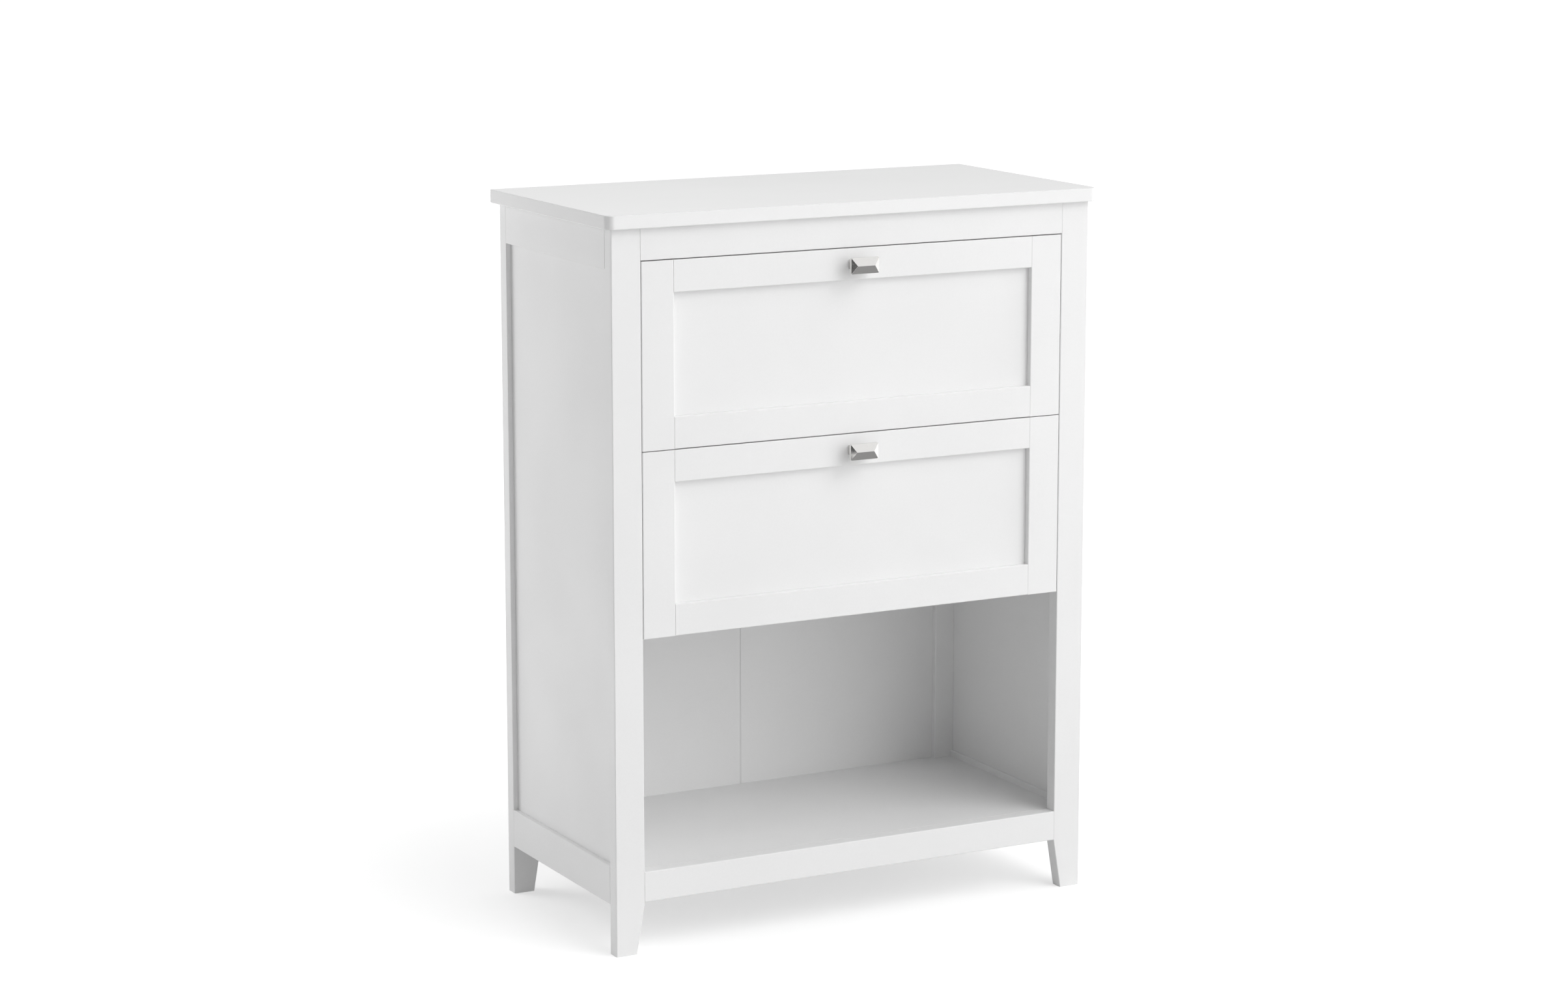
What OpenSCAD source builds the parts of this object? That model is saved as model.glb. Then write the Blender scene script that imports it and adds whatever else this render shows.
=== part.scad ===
// Free-standing bathroom storage tower: a white frame-and-panel cabinet with two drawers over an
// open compartment. Millimetres, +Z up, front towards -Y, origin on the floor in the middle.

/* [Overall size] */
// Width of the top board
top_w = 600; // [480:10:900]
// Depth of the top board
top_d = 300; // [250:10:450]
// Height from the floor to the upper face of the top board
total_h = 800; // [660:10:1200]

/* [Top board] */
// Thickness of the top board
top_t = 15; // [13:1:25]
// How far the top board stands out past the frame on every side
overhang = 7.5; // [2:0.5:15]
// Radius of the two front corners of the top board
top_corner_r = 9; // [4:1:20]
// Radius of the eased edges of the top board
top_ease_r = 1; // [0.5:0.5:3]

/* [Legs and cross rails] */
// Width of a leg above its foot
leg_w = 34; // [32:1:60]
// Width of a leg where it meets the floor
foot_w = 24.5; // [18:0.5:31]
// Height of the front and back top rails
top_rail_h = 34.5; // [32:0.5:60]
// Height of the front and back bottom rails
bottom_rail_h = 33.5; // [30:0.5:60]
// Free height under the front and back bottom rails
floor_gap = 57; // [30:1:120]
// Radius of the eased long edges of the legs, the rails and the drawer fronts
edge_r = 1; // [0.2:0.1:2]

/* [Side frames] */
// Height of the side rails
side_rail_h = 43; // [36:1:80]
// Thickness of the side rails
side_rail_t = 12; // [11:0.5:16]
// Free height under the side bottom rails
side_floor_gap = 55; // [30:1:120]
// How far a side panel lies back from the outer face of its frame
side_recess = 5.6; // [3:0.1:6.5]
// Thickness of the side panels
side_panel_t = 3; // [2.5:0.1:4]
// Depth of the grooves that hold the side and back panels
groove_d = 4; // [3:0.5:4.5]

/* [Boards and back] */
// Thickness of the bottom board and of the middle board
board_t = 15; // [12:0.5:20]
// Thickness of the two back panels
back_t = 3; // [2.5:0.1:5]
// Width of the flange of the strip that joins the back panels
strip_w = 14; // [10:1:30]
// Thickness of the strip's flange and web
strip_t = 0.8; // [0.6:0.1:1.2]

/* [Drawer fronts] */
// Height of a drawer front
front_h = 201; // [170:1:230]
// Thickness of the stiles and rails of a drawer front
front_t = 15; // [15:0.5:20]
// How much thicker the legs and the cross rails are than a drawer front
frame_extra_t = 1; // [0.5:0.5:6]
// Open line above and below a drawer front
front_gap = 1; // [0.5:0.5:4]
// Open line at either side of a drawer front
side_gap = 0.75; // [0.5:0.25:3]
// Width of the stiles of a drawer front
stile_w = 38; // [30:1:60]
// Height of the rails of a drawer front
front_rail_h = 34.5; // [34:0.5:50]
// How far a drawer front's panel lies back from its face
front_recess = 7; // [5:0.5:10]
// Thickness of a drawer front's panel
front_panel_t = 3; // [2.5:0.1:4]
// Depth of the grooves that hold a drawer front's panel
front_groove_d = 6; // [4:0.5:6]

/* [Drawer boxes] */
// Thickness of the sides and back of a drawer box
box_t = 12; // [10:0.5:16]
// Height of a drawer box above the lower edge of its front
box_lift = 19.5; // [19.5:0.5:25]
// Height of a drawer front's upper edge above its box
box_drop = 31.5; // [4:0.5:60]
// Thickness of a drawer bottom
bottom_t = 3; // [2.5:0.1:3.5]
// Height of a drawer bottom above the lower edge of its box
bottom_lift = 4; // [3:0.5:4.5]
// Depth of the slots that hold a drawer bottom
bottom_slot_d = 5; // [3:0.5:6]
// Open space between a closed drawer box and the back of the cabinet
box_back_gap = 10; // [4:1:40]

/* [Knobs] */
// Width of a knob's head
knob_w = 34; // [25:0.5:60]
// Height of a knob's head
knob_h = 17.6; // [13:0.2:30]
// Width of a knob's stem
stem_w = 21.5; // [12:0.5:24]
// Height of a knob's stem
stem_h = 10.5; // [8:0.5:12]
// Length of a knob's stem, from the front to the head
stem_l = 14.5; // [10:0.5:25]
// Thickness of the head's straight rim
knob_rim_t = 3; // [2:0.5:6]
// Rise of the head's four sloping faces
knob_rise = 3; // [1:0.5:8]
// Length of the ridge where the two long sloping faces meet
knob_ridge = 21; // [8:0.5:24]
// Radius of the head's corners
knob_corner_r = 1.6; // [0.5:0.1:4]

/* [Runners] */
// Steps in which runners are sold: the longest that fits between the legs is used
runner_step = 50; // [25:25:50]
// Length of a runner that stays engaged when its drawer is fully out
runner_hold = 65; // [55:1:90]
// Height of a runner
runner_h = 27; // [25:0.5:35]
// Depth of a runner, between the batten and the drawer side
runner_d = 10; // [9.5:0.5:13]
// Height of a runner's middle above the lower edge of the drawer box
runner_lift = 60; // [40:1:70]
// Thickness of the runners' sheet steel
sheet_t = 1; // [0.8:0.1:1.2]
// Diameter of the bearing balls
ball_d = 4; // [3.2:0.1:4.4]
// Number of balls in each row of a ball cage
balls_per_row = 6; // [3:1:6]
// Thickness of a ball cage's sheet
cage_t = 0.4; // [0.3:0.05:0.5]
// Height of the battens that carry the runners
batten_h = 45; // [40:1:60]

/* [Fittings] */
// Diameter of the wooden dowels
dowel_d = 6; // [5:0.5:6]
// Length of the wooden dowels
dowel_l = 30; // [24:1:34]
// Length of a dowel or bolt inside the piece that it is anchored in
anchor_l = 10; // [8:0.5:10.5]
// Diameter of a cam
cam_d = 15; // [12:0.5:15]
// Distance of a cam's middle from the joint that it pulls together
cam_reach = 34; // [24:1:40]
// Distance of a top board cam's middle from the top board
top_cam_reach = 20; // [18:1:20]
// Diameter of the knob's machine screw
knob_screw_d = 4; // [3:0.5:5]

/* [Hidden] */

// Names for the two sides, the two ends and the two drawers
LEFT = -1;
RIGHT = 1;
FRONT = -1;
BACK = 1;
LOWER = 0;
UPPER = 1;
LEVELS = [LOWER, UPPER];

// Turns that lay the +Z axis towards the middle of the cabinet, or downwards
TOWARDS_MIDDLE_X = [0, -90, 0];
TOWARDS_MIDDLE_Y = [90, 0, 0];
OUTWARDS_X = [0, 90, 0];
OUTWARDS_Y = [-90, 0, 0];
DOWNWARDS = [180, 0, 0];

// Clearances: a panel in its groove, a dowel or screw in its hole, a ball in its race
panel_fit = 0.1;
hole_fit = 0.1;
ball_fit = 0.05;
end_fit = 0.3;
seam_fit = 0.2;

// How far a joined shape reaches into its neighbour, and how far a cut runs past a face
eps = 0.01;
past = 1;
$fn = 48;

// The frame: half width, half depth and the height that the top board rests on. The cabinet is set
// back so that the knobs and the top board reach equally far from the origin.
half_w = top_w / 2 - overhang;
half_d = top_d / 2 - overhang;
frame_top = total_h - top_t;
frame_t = front_t + frame_extra_t;
knob_out = stem_l + knob_rim_t + knob_rise;
cabinet_y = max(0, knob_out - overhang) / 2;
open_x = half_w - leg_w;
inner_y = half_d - frame_t;
frame_mid_y = half_d - frame_t / 2;

// Height ranges of the rails, as [lower edge, upper edge]
top_rail = [frame_top - top_rail_h, frame_top];
bottom_rail = [floor_gap, floor_gap + bottom_rail_h];
side_top_rail = [frame_top - side_rail_h, frame_top];
side_bottom_rail = [side_floor_gap, side_floor_gap + side_rail_h];
side_rail_x = half_w - side_rail_t;
side_panel_x = half_w - side_recess - side_panel_t;

// Back panels, held in the middle of the back legs' thickness
back_y = frame_mid_y - back_t / 2;

// Drawer fronts, boxes and boards
function front_z(level) = top_rail[0] - (2 - level) * (front_gap + front_h);
function box_z(level) = front_z(level) + box_lift;
function knob_z(level) = front_z(level) + front_h - front_rail_h / 2;
function runner_z(level) = box_z(level) + runner_lift;
front_half_w = open_x - side_gap;
front_back_y = -half_d + front_t;
front_inner_x = front_half_w - stile_w;
front_panel_y = -half_d + front_recess;
box_h = front_h - box_lift - box_drop;
box_outer_x = open_x - runner_d;
box_inner_x = box_outer_x - box_t;
box_end_y = back_y - box_back_gap;
bottom_board_z = bottom_rail[1] - board_t;
middle_board_step = 0.5;
middle_board_z = front_z(LOWER) + middle_board_step;

// Runners: sheet profiles that wrap round two rows of balls
arc_steps = 4;
outer_lip_angle = -30;
inner_lip_angle = 160;
runner_gap = 0.5;
runner_l = runner_step * floor((2 * inner_y - 2 * runner_gap) / runner_step);
runner_front_y = -inner_y + runner_gap;
runner_back_y = runner_front_y + runner_l;
travel = runner_l - runner_hold;
race_r = ball_d / 2 + ball_fit;
race_u = runner_d / 2;
race_v = runner_h / 2 - sheet_t - race_r;
bend_r = 2 * sheet_t;
stop_t = 2;
stop_gap = 1;
cage_stop_h = 8;
rear_stop_t = 1.2;
rear_stop_h = 10;
rear_stop_fit = 0.4;
drive_tab_h = 1.6;
drive_tab_inset = 0.2;
inner_runner_back_y = runner_back_y - rear_stop_t - end_fit;

// A cage runs half as far as its drawer, and meets both members' stops when the drawer is out
cage_front_y = runner_front_y + stop_t + stop_gap + travel / 2;
cage_back_y = inner_runner_back_y - stop_t - stop_gap - travel / 2;
cage_gap = 0.2;
cage_end = 6;
ball_pitch = (cage_back_y - cage_front_y - 2 * cage_end) / (balls_per_row - 1);

// Dowel and cam places, each on the face of the joint that it crosses, for the right back corner.
// The bottom rails' cams lie under the bottom board, where they can be turned.
dowel_inset = 8;
low_cam_inset = 9.5;
side_dowel_inset = 10;
middle_dowel_inset = 4.9;
middle_cam_inset = groove_d + 4;
bottom_dowel_inset = 20;
bottom_cam_inset = 45;
batten_dowel_inset = 10;
top_dowel_inset = 75;
top_cam_inset = 105;
batten_mid_x = (open_x + side_panel_x) / 2;
function rail_dowels(rail) =
    [for (z = rail == bottom_rail ? [rail[1] - dowel_inset]
                                  : [rail[0] + dowel_inset, rail[1] - dowel_inset])
        [open_x, frame_mid_y, z]];
function rail_cams(rail) =
    [[open_x, frame_mid_y,
      rail == bottom_rail ? rail[0] + low_cam_inset : (rail[0] + rail[1]) / 2]];
function side_dowels(rail) =
    [for (z = [rail[0] + side_dowel_inset, rail[1] - side_dowel_inset])
        [half_w - side_rail_t / 2, inner_y, z]];
middle_dowels = [[side_panel_x - middle_dowel_inset, inner_y, middle_board_z + board_t / 2]];
middle_cams = [[open_x + middle_cam_inset, inner_y, middle_board_z + board_t / 2]];
bottom_dowels = [[side_rail_x, inner_y - bottom_dowel_inset, bottom_board_z + board_t / 2]];
bottom_cams = [[side_rail_x, inner_y - bottom_cam_inset, bottom_board_z + board_t / 2]];
function batten_dowels(level) =
    [for (s = [-1, 1])
        [batten_mid_x, inner_y, runner_z(level) + s * (batten_h / 2 - batten_dowel_inset)]];
top_dowels = [[open_x - top_dowel_inset, frame_mid_y, frame_top]];
top_cams = [[open_x - top_cam_inset, frame_mid_y, frame_top]];

// Screws: the runners' flat-headed ones, the drawer boxes' long ones and the knobs'
runner_screw = [3.5, 7, 9];
batten_screw = [3.5, 7, 14];
box_screw = [4, 8, 36];
runner_screw_inset = 24;
function runner_screw_ys(length) =
    [runner_front_y + runner_screw_inset,
     runner_front_y + length / 2,
     runner_front_y + length - runner_screw_inset];
box_screw_zs = [25, box_h - 25];
box_cam_zs = [30, box_h - 40];
box_cam_reach = 24;
knob_screw_grip = 8;
knob_screw_head_r = 4;
knob_screw_head_t = 2.4;
knob_screw_dome_r = 4.6;
screw_rim = 0.2;
stem_corner_r = 1;

// Cams and their bolts
cam_past_middle = 4.5;
cam_tunnel_r = 3.1;
cam_slot_l = 8;
cam_slot_w = 1.4;
cam_slot_depth = 1.5;
bolt_thread_r = 2.5;
bolt_collar_r = 3.2;
bolt_collar_t = 1.2;
bolt_shank_r = 2.2;
bolt_neck_r = 1.4;
bolt_neck_l = 2.5;
bolt_head_r = 2.8;
bolt_head_back = 1.5;
bolt_head_tip = 1.4;
bolt_chamfer = 0.8;

// Colours
PAINT = [0.95, 0.95, 0.94];
RAW_BOARD = [0.90, 0.90, 0.88];
PLASTIC = [0.93, 0.93, 0.93];
ZINC = [0.72, 0.74, 0.76];
NICKEL = [0.66, 0.65, 0.63];
BEECH = [0.83, 0.68, 0.48];

// ---- Placing ----

// The whole cabinet stands a little behind the origin
module placed() {
    translate([0, cabinet_y, 0]) children();
}

// Pieces are written for the right side and the back, and turned over for the left and the front
module on_side(side) {
    if (side < 0) mirror([1, 0, 0]) children();
    else children();
}

module at_end(end) {
    if (end < 0) mirror([0, 1, 0]) children();
    else children();
}

module at_corners() {
    for (side = [LEFT, RIGHT]) for (end = [FRONT, BACK]) on_side(side) at_end(end) children();
}

module block(low, high) {
    translate(low) cube(high - low);
}

module rounded_plate(w, h, r) {
    square([w, h - 2 * r], center = true);
    square([w - 2 * r, h], center = true);
    for (x = [-1, 1]) for (y = [-1, 1]) translate([x * (w / 2 - r), y * (h / 2 - r)]) circle(r = r);
}

// A block whose four edges along X, Y or Z are eased
module bar(low, high, along) {
    size = high - low;
    middle = (low + high) / 2;
    if (along == "x") translate([low[0], middle[1], middle[2]]) rotate([90, 0, 90])
        linear_extrude(size[0]) rounded_plate(size[1], size[2], edge_r);
    if (along == "y") translate([middle[0], high[1], middle[2]]) rotate([90, 0, 0])
        linear_extrude(size[1]) rounded_plate(size[0], size[2], edge_r);
    if (along == "z") translate([middle[0], middle[1], low[2]])
        linear_extrude(size[2]) rounded_plate(size[0], size[1], edge_r);
}

// ---- Fittings ----

// Dowels from the anchored piece into the other one; grow turns them into their holes
module dowel_set(points, turn, grow = 0) {
    extra = grow > 0 ? end_fit : 0;
    for (p = points) translate(p) rotate(turn)
        translate([0, 0, -anchor_l - extra])
            cylinder(d = dowel_d + 2 * grow, h = dowel_l + 2 * extra);
}

// A cam's depth reaches past the bolt, which lies in the middle of the board
function cam_depth(thickness) = thickness / 2 + cam_past_middle;

module cam_bolt(reach) {
    neck = reach - bolt_head_back;
    tip = reach + bolt_head_tip;
    rotate_extrude() polygon([
        [0, -anchor_l], [bolt_thread_r - bolt_chamfer, -anchor_l],
        [bolt_thread_r, -anchor_l + bolt_chamfer], [bolt_thread_r, 0],
        [bolt_collar_r, 0], [bolt_collar_r, bolt_collar_t],
        [bolt_shank_r, bolt_collar_t], [bolt_shank_r, neck - bolt_neck_l],
        [bolt_neck_r, neck - bolt_neck_l], [bolt_neck_r, neck],
        [bolt_head_r, neck], [bolt_head_r, tip - bolt_chamfer],
        [bolt_head_r - bolt_chamfer, tip], [0, tip],
    ]);
}

module cam_bolt_hole(reach) {
    translate([0, 0, -anchor_l - end_fit])
        cylinder(r = bolt_thread_r + hole_fit, h = anchor_l + end_fit + eps);
    cylinder(r = bolt_collar_r + hole_fit, h = reach);
}

// Bolt lies on +Z; the cam is let in from the face that +X points to
module cam(reach, thickness) {
    depth = cam_depth(thickness);
    difference() {
        translate([thickness / 2 - depth, 0, reach]) rotate([0, 90, 0])
            cylinder(d = cam_d, h = depth);
        translate([0, 0, reach - cam_d])
            cylinder(r = cam_tunnel_r, h = cam_d + bolt_head_tip + end_fit);
        for (turn = [0, 90]) translate([thickness / 2, 0, reach]) rotate([turn, 0, 0])
            cube([2 * cam_slot_depth, cam_slot_l, cam_slot_w], center = true);
    }
}

module cam_hole(reach, thickness) {
    depth = cam_depth(thickness) + end_fit;
    translate([thickness / 2 - depth, 0, reach]) rotate([0, 90, 0])
        cylinder(d = cam_d + 2 * hole_fit, h = depth + past);
    cam_bolt_hole(reach);
}

// The turn that brings the cam's face to the inside of a rail, or under a board
module rail_cam_frame(p) {
    translate(p) rotate(TOWARDS_MIDDLE_X) rotate([0, 0, -90]) children();
}

module middle_cam_frame(p) {
    translate(p) rotate(TOWARDS_MIDDLE_Y) rotate([0, 0, -90]) children();
}

module bottom_cam_frame(p) {
    translate(p) rotate(TOWARDS_MIDDLE_X) rotate([0, 0, 180]) children();
}

module top_cam_frame(p) {
    translate(p) rotate(DOWNWARDS) rotate([0, 0, 90]) children();
}

module box_cam_frame(p) {
    translate(p) rotate(OUTWARDS_Y) rotate([0, 0, 180]) children();
}

// Flat-headed wood screw, size = [shank, head, length], with its head at the origin and its tip up
module flat_screw(size, grow = 0) {
    shank_r = size[0] / 2 + grow;
    head_r = size[1] / 2 + grow;
    tip = size[2] + grow;
    rotate_extrude() polygon([
        [0, 0], [head_r, 0], [head_r, screw_rim + grow],
        [shank_r, head_r - shank_r + screw_rim + grow],
        [shank_r, tip - 2 * shank_r], [0, tip],
    ]);
}

module knob_screw(grow = 0) {
    rotate_extrude() union() {
        square([knob_screw_d / 2 + grow, front_t + knob_screw_grip + grow]);
        translate([0, -knob_screw_head_t]) intersection() {
            square([knob_screw_head_r, knob_screw_head_t]);
            translate([0, knob_screw_head_r]) circle(r = knob_screw_dome_r);
        }
    }
}

// ---- Carcass ----

// Outline of a board's edge, rounded at one or at both of its ends
module eased_section(low, high, thickness, r, both) {
    translate([low + r, 0]) square([high - low - (both ? 2 * r : r), thickness]);
    translate([low, r]) square([high - low, thickness - 2 * r]);
    for (x = both ? [low + r, high - r] : [low + r]) for (z = [r, thickness - r])
        translate([x, z]) circle(r = r);
    if (!both) translate([high - r, 0]) square([r, thickness]);
}

// The front corners are turned, so that their eased edge runs round them
module eased_corner() {
    rotate_extrude(angle = 90) intersection() {
        square([top_corner_r, top_t]);
        mirror([1, 0]) eased_section(-top_corner_r, top_corner_r, top_t, top_ease_r, false);
    }
}

module top_blank() {
    straight_y = -top_d / 2 + top_corner_r;
    straight_x = top_w / 2 - top_corner_r;
    intersection() {
        translate([0, top_d / 2, 0]) rotate([90, 0, 0]) linear_extrude(top_d - top_corner_r)
            eased_section(-top_w / 2, top_w / 2, top_t, top_ease_r, true);
        translate([-top_w / 2, 0, 0]) rotate([90, 0, 90]) linear_extrude(top_w)
            mirror([1, 0]) eased_section(-top_d / 2, -straight_y, top_t, top_ease_r, false);
    }
    translate([-straight_x, 0, 0]) rotate([90, 0, 90]) linear_extrude(2 * straight_x)
        eased_section(-top_d / 2, straight_y, top_t, top_ease_r, false);
    for (side = [LEFT, RIGHT]) on_side(side)
        translate([straight_x, straight_y, 0]) rotate([0, 0, -90]) eased_corner();
}

module top_board() color(PAINT) placed() difference() {
    translate([0, 0, frame_top]) top_blank();
    at_corners() dowel_set(top_dowels, DOWNWARDS, hole_fit);
    at_corners() for (p = top_cams) top_cam_frame(p) cam_bolt_hole(top_cam_reach);
}

// Its inner edge leans over from the cross rail to the narrower foot
module leg_blank() {
    lean = atan((leg_w - foot_w) / floor_gap);
    intersection() {
        bar([open_x, inner_y, 0], [half_w, half_d, frame_top], "z");
        translate([open_x, 0, floor_gap]) rotate([0, -lean, 0])
            bar([0, inner_y, -frame_top], [frame_top, half_d, frame_top], "z");
    }
}

module leg(side, end) color(PAINT) placed() on_side(side) at_end(end) difference() {
    leg_blank();
    block([side_panel_x - panel_fit, inner_y - past, side_bottom_rail[1] - groove_d],
          [side_panel_x + side_panel_t + panel_fit, inner_y + groove_d,
           side_top_rail[0] + groove_d]);
    if (end == BACK) back_groove();
    for (rail = [bottom_rail, top_rail]) {
        dowel_set(rail_dowels(rail), TOWARDS_MIDDLE_X, hole_fit);
        for (p = rail_cams(rail)) rail_cam_frame(p) cam_bolt_hole(cam_reach);
    }
    for (rail = [side_bottom_rail, side_top_rail])
        dowel_set(side_dowels(rail), TOWARDS_MIDDLE_Y, hole_fit);
    dowel_set(middle_dowels, TOWARDS_MIDDLE_Y, hole_fit);
    for (p = middle_cams) middle_cam_frame(p) cam_bolt_hole(cam_reach);
    for (level = LEVELS) dowel_set(batten_dowels(level), TOWARDS_MIDDLE_Y, hole_fit);
}

// The space that the back panels' edges lie in, as one block across the cabinet
module back_groove() {
    block([-open_x - groove_d, back_y - panel_fit, bottom_rail[1] - groove_d],
          [open_x + groove_d, back_y + back_t + panel_fit, top_rail[0] + groove_d]);
}

module cross_rail(end, rail) color(PAINT) placed() at_end(end) difference() {
    bar([-open_x, inner_y, rail[0]], [open_x, half_d, rail[1]], "x");
    if (end == BACK) back_groove();
    for (side = [LEFT, RIGHT]) on_side(side) {
        dowel_set(rail_dowels(rail), TOWARDS_MIDDLE_X, hole_fit);
        for (p = rail_cams(rail)) rail_cam_frame(p) cam_hole(cam_reach, frame_t);
        if (rail == top_rail) {
            dowel_set(top_dowels, DOWNWARDS, hole_fit);
            for (p = top_cams) top_cam_frame(p) cam_hole(top_cam_reach, frame_t);
        }
    }
}

module side_rail(side, rail) color(PAINT) placed() on_side(side) difference() {
    bar([side_rail_x, -inner_y, rail[0]], [half_w, inner_y, rail[1]], "y");
    block([side_panel_x - panel_fit, -half_d, side_bottom_rail[1] - groove_d],
          [side_panel_x + side_panel_t + panel_fit, half_d, side_top_rail[0] + groove_d]);
    for (end = [FRONT, BACK]) at_end(end) {
        dowel_set(side_dowels(rail), TOWARDS_MIDDLE_Y, hole_fit);
        if (rail == side_bottom_rail) {
            dowel_set(bottom_dowels, TOWARDS_MIDDLE_X, hole_fit);
            for (p = bottom_cams) bottom_cam_frame(p) cam_bolt_hole(cam_reach);
        }
    }
}

module side_panel(side) color(PAINT) placed() on_side(side)
    block([side_panel_x, -inner_y - groove_d + end_fit, side_bottom_rail[1] - groove_d + end_fit],
          [side_panel_x + side_panel_t, inner_y + groove_d - end_fit,
           side_top_rail[0] + groove_d - end_fit]);

module bottom_board() color(PAINT) placed() difference() {
    block([-side_rail_x, -inner_y, bottom_board_z], [side_rail_x, inner_y, bottom_rail[1]]);
    at_corners() {
        dowel_set(bottom_dowels, TOWARDS_MIDDLE_X, hole_fit);
        for (p = bottom_cams) bottom_cam_frame(p) cam_hole(cam_reach, board_t);
    }
}

// Fills the cabinet from side panel to side panel, and runs on between the legs to the back
module middle_board() color(PAINT) placed() difference() {
    union() {
        half = side_panel_x - panel_fit;
        tongue = open_x - end_fit;
        block([-half, -inner_y, middle_board_z], [half, inner_y, middle_board_z + board_t]);
        block([-tongue, 0, middle_board_z],
              [tongue, back_y - end_fit, middle_board_z + board_t]);
    }
    at_corners() {
        dowel_set(middle_dowels, TOWARDS_MIDDLE_Y, hole_fit);
        for (p = middle_cams) middle_cam_frame(p) cam_hole(cam_reach, board_t);
    }
}

module back_panel(side) color(PAINT) placed() on_side(side)
    block([strip_t / 2 + seam_fit, back_y, bottom_rail[1] - groove_d + end_fit],
          [open_x + groove_d - end_fit, back_y + back_t, top_rail[0] + groove_d - end_fit]);

// Its web shows as a thin line between the two halves, and its flange covers the joint behind
module back_joint_strip() color(PLASTIC) placed() {
    low = bottom_rail[1] + seam_fit;
    high = top_rail[0] - seam_fit;
    flange_y = back_y + back_t + panel_fit;
    block([-strip_t / 2, back_y, low], [strip_t / 2, flange_y + strip_t, high]);
    block([-strip_w / 2, flange_y, low], [strip_w / 2, flange_y + strip_t, high]);
}

module runner_battens(side) color(RAW_BOARD) placed() on_side(side)
    for (level = LEVELS) difference() {
        z = runner_z(level);
        block([open_x, -inner_y, z - batten_h / 2],
              [side_panel_x - panel_fit, inner_y, z + batten_h / 2]);
        for (end = [FRONT, BACK]) at_end(end)
            dowel_set(batten_dowels(level), TOWARDS_MIDDLE_Y, hole_fit);
        outer_runner_screws(level, hole_fit);
    }

module dowels() color(BEECH) placed() at_corners() {
    for (rail = [bottom_rail, top_rail]) dowel_set(rail_dowels(rail), TOWARDS_MIDDLE_X);
    for (rail = [side_bottom_rail, side_top_rail])
        dowel_set(side_dowels(rail), TOWARDS_MIDDLE_Y);
    dowel_set(middle_dowels, TOWARDS_MIDDLE_Y);
    dowel_set(bottom_dowels, TOWARDS_MIDDLE_X);
    for (level = LEVELS) dowel_set(batten_dowels(level), TOWARDS_MIDDLE_Y);
    dowel_set(top_dowels, DOWNWARDS);
}

module cams() color(ZINC) placed() at_corners() {
    for (rail = [bottom_rail, top_rail]) for (p = rail_cams(rail))
        rail_cam_frame(p) cam(cam_reach, frame_t);
    for (p = middle_cams) middle_cam_frame(p) cam(cam_reach, board_t);
    for (p = bottom_cams) bottom_cam_frame(p) cam(cam_reach, board_t);
    for (p = top_cams) top_cam_frame(p) cam(top_cam_reach, frame_t);
}

module cam_bolts() color(ZINC) placed() at_corners() {
    for (rail = [bottom_rail, top_rail]) for (p = rail_cams(rail))
        rail_cam_frame(p) cam_bolt(cam_reach);
    for (p = middle_cams) middle_cam_frame(p) cam_bolt(cam_reach);
    for (p = bottom_cams) bottom_cam_frame(p) cam_bolt(cam_reach);
    for (p = top_cams) top_cam_frame(p) cam_bolt(top_cam_reach);
}

// ---- Runners ----

// Cross-sections have X from the batten to the drawer side, and Y up from the runner's middle
module ring_sector(r, t, from, to) {
    reach = 2 * (r + t);
    intersection() {
        difference() {
            circle(r = r + t);
            circle(r = r);
        }
        polygon([
            [0, 0],
            for (i = [0:arc_steps]) let (a = from + (to - from) * i / arc_steps)
                reach * [cos(a), sin(a)],
        ]);
    }
}

module both_rows() {
    children();
    mirror([0, 1]) children();
}

module outer_section() {
    half = runner_h / 2;
    translate([0, -half + bend_r]) square([sheet_t, runner_h - 2 * bend_r]);
    both_rows() {
        translate([bend_r, half - bend_r]) ring_sector(bend_r - sheet_t, sheet_t, 90, 180);
        translate([bend_r, half - sheet_t]) square([race_u - bend_r, sheet_t]);
        translate([race_u, race_v]) ring_sector(race_r, sheet_t, outer_lip_angle, 90);
    }
}

module inner_section() {
    half = race_v - race_r;
    translate([runner_d - sheet_t, -half + bend_r]) square([sheet_t, 2 * (half - bend_r)]);
    both_rows() {
        translate([runner_d - bend_r, half - bend_r])
            ring_sector(bend_r - sheet_t, sheet_t, 0, 90);
        translate([race_u, half - sheet_t]) square([runner_d - bend_r - race_u, sheet_t]);
        translate([race_u, race_v]) ring_sector(race_r, sheet_t, inner_lip_angle, 270);
    }
}

module cage_section() {
    inside = sheet_t + cage_gap;
    half = runner_h / 2 - inside;
    corner = bend_r - inside;
    translate([inside, -half + corner]) square([cage_t, 2 * (half - corner)]);
    both_rows() {
        translate([bend_r, half - corner]) ring_sector(corner - cage_t, cage_t, 90, 180);
        translate([bend_r, half - cage_t]) square([race_u - bend_r, cage_t]);
    }
}

module runner_length(from, to) {
    translate([0, to, 0]) rotate([90, 0, 0]) linear_extrude(to - from) children();
}

// Runner frame: X from the batten towards the drawer, Z from the runner's middle
module runner_frame(level) {
    translate([open_x, 0, runner_z(level)]) mirror([1, 0, 0]) children();
}

module outer_runner_screws(level, grow = 0) {
    runner_frame(level) for (y = runner_screw_ys(runner_l))
        translate([sheet_t, y, 0]) rotate(TOWARDS_MIDDLE_X) flat_screw(batten_screw, grow);
}

module inner_runner_screws(level, grow = 0) {
    runner_frame(level) for (y = runner_screw_ys(inner_runner_back_y - runner_front_y))
        translate([runner_d - sheet_t, y, 0]) rotate(OUTWARDS_X)
            flat_screw(runner_screw, grow);
}

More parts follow.
